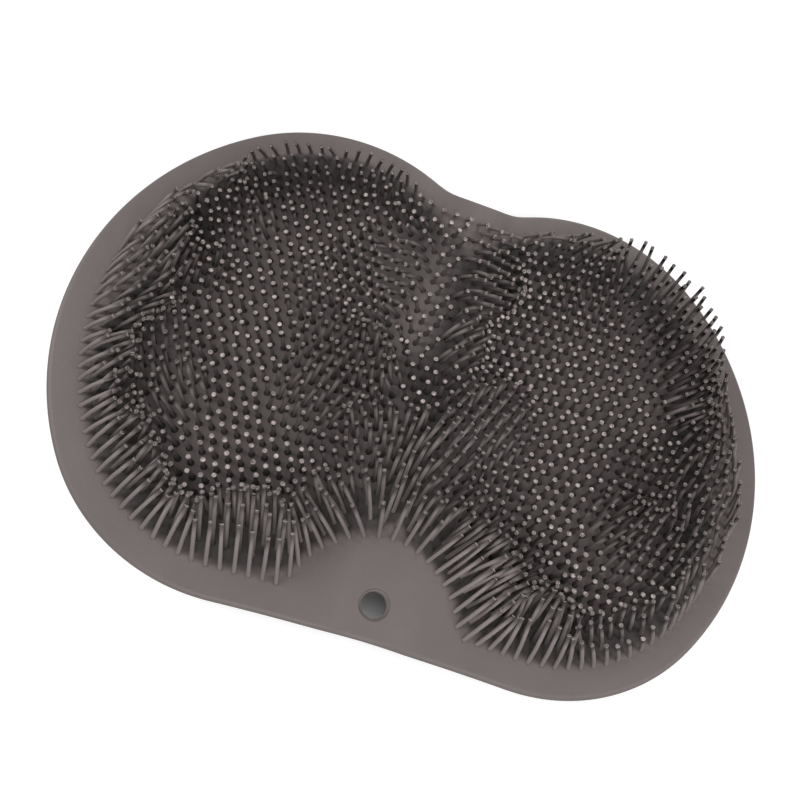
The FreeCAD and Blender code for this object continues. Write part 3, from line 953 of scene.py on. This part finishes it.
@dataclass
class BristleField:
    """Field of tapered bristles, curled inwards at its rim and outwards from the spine."""

    outline: Outline
    spine: Spine
    dresser: Dresser
    hole_y: float
    margin: float = 0.0145
    apron: float = 0.0430
    apron_drop: float = 0.01225
    pitch: float = 0.00625
    row_spacing: float = 0.00635
    crest_pitch: float = 0.0078
    sides: int = 7
    short: float = 0.012
    long: float = 0.0225
    crest_length: float = 0.0085
    rim_reach: float = 0.028
    arch_reach: float = 0.075
    rim_lean: float = 0.62
    rim_draught: tuple[float, float] = (0.12, 0.22)
    middle_draught: tuple[float, float] = (-0.20, 0.04)
    steepest: float = math.radians(72.0)
    flank_start: float = 0.006
    flank_peak: float = 0.016
    flank_end: float = 0.040
    crest_half: float = 0.0085
    crest_from: float = 0.012
    parting_shift: float = -0.0110
    parting_from: float = -0.030
    parting_run: float = 0.052
    scatter: float = 0.05
    bare_foot: float = 0.42
    crest_foot: float = 0.06
    foot_loss: float = 0.85
    stoutness: float = 0.09
    tip_loss: float = 0.18
    ring_loss: float = 0.50
    dimple_loss: float = 0.07
    tall_spare: float = 0.007
    half_size: tuple[float, float] = (0.18, 0.14)
    rim_spread: float = 1.05
    row_spare: float = 0.72
    length_spread: tuple[float, float] = (0.94, 1.06)
    bend: float = 0.22
    flank_bend: float = 0.30
    bare_rate: float = 3.0
    middle_half: float = 0.030
    shaft_reach: tuple[float, float] = (0.45, 0.55)
    tip_plainness: float = 0.7
    template_step: float = 0.001
    seed: int = 7
    patches: tuple[Combing, ...] = tuple(Combing(*row) for row in LEFT_LOBE + MIDDLE + RIGHT_LOBE)

    @classmethod
    def apron_centre(cls, hole_y: float) -> Vector:
        """Centre of the bare apron, which lies below the hanging hole.

        Args:
            hole_y: Place of the hole along the spine.

        Returns:
            The point in plan.
        """
        return Vector((0.0, hole_y - cls.apron_drop, 0.0))

    def arch(self) -> Arc:
        """Edge of the bare apron round the hole."""
        centre = self.apron_centre(self.hole_y)
        left = centre + Vector((-self.apron, 0.001, 0.0))
        right = centre + Vector((self.apron, 0.001, 0.0))
        return Arc(centre, self.apron, right, left, 1)

    def parting(self, y: float) -> float:
        """Where the bristles part to both sides, which strays from the middle line towards the top.

        Args:
            y: Place along the spine.

        Returns:
            Place across the pad in metres.
        """
        return self.parting_shift * smooth((y - self.parting_from) / self.parting_run)

    def rim(self) -> list[Arc]:
        """Edge of the field beside the plate's margin."""
        return self.outline.ring(self.margin)

    def inside(self, spot: Vector, spare: float) -> bool:
        """Whether a spot lies in the field.

        Args:
            spot: Place in plan.
            spare: Least distance from the field's edge in metres.

        Returns:
            True in the field.
        """
        if self.arch().depth(spot) < spare:
            return False
        depths = [(abs(arc.depth(spot)), arc.depth(spot)) for arc in self.rim() if arc.faces(spot)]
        return bool(depths) and min(depths)[1] >= spare

    def spots(self) -> list[Vector]:
        """Roots of all the bristles: one row round the edge, and staggered rows inside it."""
        found = []
        for arc in self.rim() + [self.arch()]:
            stations = arc.stations(self.pitch * self.rim_spread)
            found += [spot for spot in stations if self.inside(spot, -MERGE)]
        rows = math.ceil(self.half_size[1] / self.row_spacing)
        columns = math.ceil(self.half_size[0] / self.pitch)
        for row in range(-rows, rows + 1):
            y = row * self.row_spacing
            stagger = 0.5 if row % 2 else 0.0
            parting = self.parting(y)
            places = [(column + stagger) * self.pitch for column in range(-columns, columns + 1)]
            if y > self.crest_from:
                places = [x for x in places if abs(x - parting) > self.crest_half]
                steps = [(column + stagger) * self.crest_pitch for column in (-1, 0, 1)]
                places += [parting + step for step in steps if step <= self.crest_half]
            spots = [Vector((x, y, 0.0)) for x in places]
            found += [spot for spot in spots if self.inside(spot, self.pitch * self.row_spare)]
        return found

    def bristle(self, spot: Vector, chance: random.Random) -> Bristle:
        """How the bristle at a spot stands.

        Args:
            spot: Its root in plan.
            chance: Source of the small differences between neighbours.

        Returns:
            The bristle.
        """
        lean, length, edge = self.rim_stance(spot)
        across = spot.x - self.parting(spot.y)
        away = abs(across)
        rise = smooth((away - self.flank_start) / (self.flank_peak - self.flank_start))
        flank = rise * smooth((self.flank_end - away) / (self.flank_end - self.flank_peak))
        flank *= 1.0 - edge
        lean += Vector((math.copysign(flank * self.rim_lean, across), 0.0, 0.0))
        weights = [patch.weight(spot) for patch in self.patches]
        full = max(1.0, sum(weights))
        lean *= 1.0 - sum(weights) / full
        length *= 1.0 - sum(weights) / full
        for patch, weight in zip(self.patches, weights):
            lean += Vector((*patch.lean, 0.0)) * (weight / full)
            length += patch.length * (weight / full)
        crest = smooth((self.crest_half - away) / self.flank_start) if spot.y > self.crest_from else 0.0
        crest *= 1.0 - edge
        lean *= 1.0 - crest
        length += (self.crest_length - length) * crest
        lean += Vector((chance.gauss(0.0, self.scatter), chance.gauss(0.0, self.scatter), 0.0))
        length *= chance.uniform(*self.length_spread)
        # A foot at the edge or on the crest is lifted out of the painted shade
        at_edge = smooth(self.bare_rate * edge - (self.bare_rate - 1.0))
        bare = max(self.bare_foot * at_edge, self.crest_foot * crest)
        return Bristle(spot, lean, self.bend + self.flank_bend * flank, length, bare)

    def rim_stance(self, spot: Vector) -> tuple[Vector, float, float]:
        """Lean and length that the field's edge gives: long and curled in there, short in the middle.

        Args:
            spot: Root of the bristle in plan.

        Returns:
            The lean, the length, and the share of the edge in them.
        """
        inward = Vector((0.0, 0.0, 0.0))
        edge = 0.0
        for arc in self.rim():
            if arc.faces(spot):
                share = smooth(1.0 - arc.depth(spot) / self.rim_reach)
                inward += arc.inward(spot) * share
                edge = max(edge, share)
        draught = Vector((*self.rim_draught, 0.0)) * edge
        arch = self.arch()
        share = smooth(1.0 - arch.depth(spot) / self.arch_reach)
        inward += arch.inward(spot) * share
        edge = max(edge, share)
        if inward.length > 1.0:
            inward.normalize()
        lean = inward * self.rim_lean + draught + Vector((*self.middle_draught, 0.0)) * (1.0 - edge)
        return lean, self.short + (self.long - self.short) * edge, edge

    def template(self) -> bpy.types.Mesh:
        """Straight bristle of unit form: rings of vertices in the order of the levels.

        Returns:
            A mesh whose rings have their radius and stand one step apart, by which plant tells them.
        """
        mesh = bmesh.new()
        radius = Level.ROOT.value[1]
        bmesh.ops.create_circle(mesh, cap_ends=True, radius=radius, segments=self.sides)
        top = mesh.faces[:]
        # Each extrusion leaves the old face as a disc in its ring; those of lip and brim cover the dimple
        for level in list(Level)[1:]:
            grown = bmesh.ops.extrude_face_region(mesh, geom=top)["geom"]
            top = [item for item in grown if isinstance(item, bmesh.types.BMFace)]
            scale = level.value[1] / radius
            radius = level.value[1]
            verts = top[0].verts[:]
            bmesh.ops.scale(mesh, vec=(scale, scale, 1.0), verts=verts)
            bmesh.ops.translate(mesh, verts=verts, vec=UP * self.template_step)
        bmesh.ops.recalc_face_normals(mesh, faces=mesh.faces[:])
        data = bpy.data.meshes.new("bristle_template")
        mesh.to_mesh(data)
        mesh.free()
        return data

    def build(self) -> None:
        """Model and dress the field in three pieces: each lobe and the spine between them."""
        template = self.template()
        material = self.dresser.material(BRISTLE_FINISH)
        chance = random.Random(self.seed)
        bristles = [self.bristle(spot, chance) for spot in self.spots()]
        groups = {
            "bristles_left": [item for item in bristles if item.spot.x < -self.middle_half],
            "bristles_spine": [item for item in bristles if abs(item.spot.x) <= self.middle_half],
            "bristles_right": [item for item in bristles if item.spot.x > self.middle_half],
        }
        for name, members in groups.items():
            log.info("%s: %d bristles", name, len(members))
            self.plant(name, members, template, material)
        bpy.data.meshes.remove(template)

    def plant(self, name: str, members: list[Bristle], template: bpy.types.Mesh,
              material: bpy.types.Material) -> None:
        """Copy the template to each root and bend it.

        Args:
            name: Name of the piece.
            members: Bristles of the piece.
            template: Straight bristle.
            material: Finish of the bristles.
        """
        mesh = bmesh.new()
        for _ in members:
            mesh.from_mesh(template)
        along = mesh.verts.layers.float.new(self.dresser.attribute)
        count = len(template.vertices)
        mesh.verts.ensure_lookup_table()
        for number, item in enumerate(members):
            places = self.curve(item)
            for index in range(count):
                vert = mesh.verts[number * count + index]
                matrix, share = places[round(vert.co.z / self.template_step)]
                vert.co = matrix @ Vector((vert.co.x, vert.co.y, 0.0))
                vert[along] = share
        self.dresser.piece(name, mesh, material)

    def curve(self, item: Bristle) -> list[tuple[Matrix, float]]:
        """Place of each ring of a bent bristle.

        Args:
            item: The bristle.

        Returns:
            For each level, its matrix and its share of the length for the finish.
        """
        lean = min(self.steepest, math.asin(min(1.0, item.lean.length)))
        axis = UP.cross(item.lean).normalized()
        point = Vector((item.spot.x, item.spot.y, self.spine.height(item.spot.x)))
        # The painted shade reaches far up a short bristle, and the tip of a long one gets less of the
        # painted highlight
        tall = smooth((item.length - self.short) / self.tall_spare)
        shaft_place, tip_place = self.dresser.shaft_place, self.dresser.tip_place
        shaft_reach = self.shaft_reach[0] + self.shaft_reach[1] * tall
        places = []
        reached = 0.0
        for level in Level:
            station = level.station(item.length)
            # Each stretch is a chord at the tilt of its middle
            middle = (reached + station) / (2.0 * item.length)
            chord = Quaternion(axis, self.tilt(lean, item.bend, middle)) @ UP
            point = point + chord * (station - reached)
            reached = station
            share = station / item.length
            turn = Quaternion(axis, self.tilt(lean, item.bend, share)).to_matrix().to_4x4()
            shade = min(shaft_place, max(item.bare, share * shaft_reach))
            # The lip and brim carry the painted highlight, the dimple its painted shade
            if level in (Level.LIP, Level.BRIM):
                shade = shaft_place + (tip_place - shaft_place) * (1.0 - self.tip_plainness * tall)
            elif level is Level.DIMPLE:
                shade = 1.0 - self.dimple_loss * tall
            elif level is Level.ROOT:
                turn = Matrix.Scale(1.0 - item.bare * self.foot_loss, 4)
            if level in (Level.LOWER, Level.UPPER, Level.NECK):
                turn = turn @ Matrix.Scale(1.0 + self.stoutness * tall, 4)
            elif level in (Level.FLARE, Level.LIP):
                turn = turn @ Matrix.Scale(1.0 - self.tip_loss * tall, 4)
            elif level in (Level.BRIM, Level.DIMPLE):
                turn = turn @ Matrix.Scale(1.0 - self.ring_loss * tall, 4)
            places.append((Matrix.Translation(point) @ turn, shade))
        return places

    @staticmethod
    def tilt(lean: float, bend: float, share: float) -> float:
        """Tilt of a bent bristle, which grows from its root to its tip.

        Args:
            lean: Mean tilt in radians.
            bend: Part of the mean tilt that the root lacks and the tip has in excess.
            share: Place along the bristle from 0 to 1.

        Returns:
            The tilt there in radians.
        """
        return lean * (1.0 + bend * (2.0 * min(1.0, max(0.0, share)) - 1.0))


@dataclass
class Studio:
    """Plain floor, soft light and the camera at the photograph's viewing angle."""

    focal_length: float = 34.2
    sensor: float = 36.0
    position: tuple[float, float, float] = (-0.05338, -0.15833, 0.36848)
    azimuth: float = math.radians(-15.03)
    elevation: float = math.radians(67.0)
    roll: float = math.radians(32.45)
    floor_half: float = 6.0
    floor_colour: tuple[float, float, float] = (0.50, 0.50, 0.50)
    floor_roughness: float = 0.9
    sky: float = 0.25
    softboxes: dict[str, tuple[float, float, tuple[float, float, float]]] = field(default_factory=lambda: {
        "key": (7.4, 0.6, (-1.00, 0.10, 0.70)),
        "front": (7.0, 0.6, (0.05, -0.95, 0.75)),
        "back": (5.0, 0.8, (0.25, 1.10, 0.65)),
        "side": (5.6, 0.6, (1.05, -0.30, 0.75)),
    })
    floor_lift: float = 0.62
    hole_shade: tuple[float, float, float] = (0.0, -0.109, 0.0)
    hole_reach: tuple[float, float] = (0.011, 0.015)

    def camera(self) -> None:
        """Place the camera."""
        data = bpy.data.cameras.new("camera")
        data.lens = self.focal_length
        data.sensor_width = self.sensor
        item = stand("camera", data)
        turn = Matrix.Rotation(self.azimuth, 4, "Z")
        turn = turn @ Matrix.Rotation(math.pi / 2 - self.elevation, 4, "X")
        turn = turn @ Matrix.Rotation(self.roll, 4, "Z")
        item.matrix_world = Matrix.Translation(self.position) @ turn
        bpy.context.scene.camera = item

    def floor(self) -> None:
        """Lay the grey floor, which is lifted to white for the camera alone."""
        mesh = bmesh.new()
        bmesh.ops.create_grid(mesh, x_segments=1, y_segments=1, size=self.floor_half)
        data = bpy.data.meshes.new("floor")
        mesh.to_mesh(data)
        mesh.free()
        item = stand("floor", data)
        material = bpy.data.materials.new("floor_paper")
        material.use_nodes = True
        tree = material.node_tree
        shader = tree.nodes["Principled BSDF"]
        shader.inputs["Base Color"].default_value = (*self.floor_colour, 1.0)
        shader.inputs["Roughness"].default_value = self.floor_roughness
        shader.inputs["Emission Color"].default_value = WHITE
        here = add_node(tree, "TexCoord", {}).outputs["Object"]
        # The lift stops short of the floor that shows through the hanging hole, in the pad's shade
        start, end = self.hole_reach
        inputs = {"Value": distance(tree, here, self.hole_shade), "From Min": start, "From Max": end}
        lift = add_node(tree, "MapRange", {**inputs, "To Max": self.floor_lift}).outputs["Result"]
        seen = add_node(tree, "LightPath", {}).outputs["Is Camera Ray"]
        mask = add_node(tree, "Math", {0: lift, 1: seen}, operation="MULTIPLY")
        tree.links.new(mask.outputs["Value"], shader.inputs["Emission Strength"])
        data.materials.append(material)

    def lights(self) -> None:
        """Light the pad with a white sky and one soft lamp from each of four sides."""
        world = bpy.data.worlds.new("studio")
        world.use_nodes = True
        tree = world.node_tree
        sky = tree.nodes["Background"]
        sky.inputs["Color"].default_value = WHITE
        sky.inputs["Strength"].default_value = self.sky
        backdrop = add_node(tree, "Background", {"Color": WHITE, "Strength": 1.0}).outputs["Background"]
        seen = add_node(tree, "LightPath", {}).outputs["Is Camera Ray"]
        mix = add_node(tree, "MixShader", {"Fac": seen, 1: sky.outputs["Background"], 2: backdrop})
        tree.links.new(mix.outputs["Shader"], tree.nodes["World Output"].inputs["Surface"])
        bpy.context.scene.world = world
        for name, (power, size, spot) in self.softboxes.items():
            data = bpy.data.lights.new(name, "AREA")
            data.energy = power
            data.size = size
            place = Vector(spot)
            turn = place.to_track_quat("Z", "Y").to_matrix().to_4x4()
            stand(name, data).matrix_world = Matrix.Translation(place) @ turn

    def build(self) -> None:
        """Set up the whole studio."""
        view = bpy.context.scene.view_settings
        view.view_transform = "Standard"
        self.camera()
        self.floor()
        self.lights()


def main() -> None:
    """Build the pad and its studio."""
    outline = Outline()
    spine = Spine()
    apron = BristleField.apron_centre(Plate.hole_y)
    field_shade = FieldShade(outline, BristleField.margin, apron, BristleField.apron)
    dresser = Dresser(Skin(), field_shade)
    plate = Plate(outline, spine, dresser)
    log.info("plate: %s", plate.build().name)
    log.info("cups: %s", SuctionCups(spine, dresser).build().name)
    BristleField(outline, spine, dresser, plate.hole_y).build()
    Studio().build()


if __name__ == "__main__":
    main()
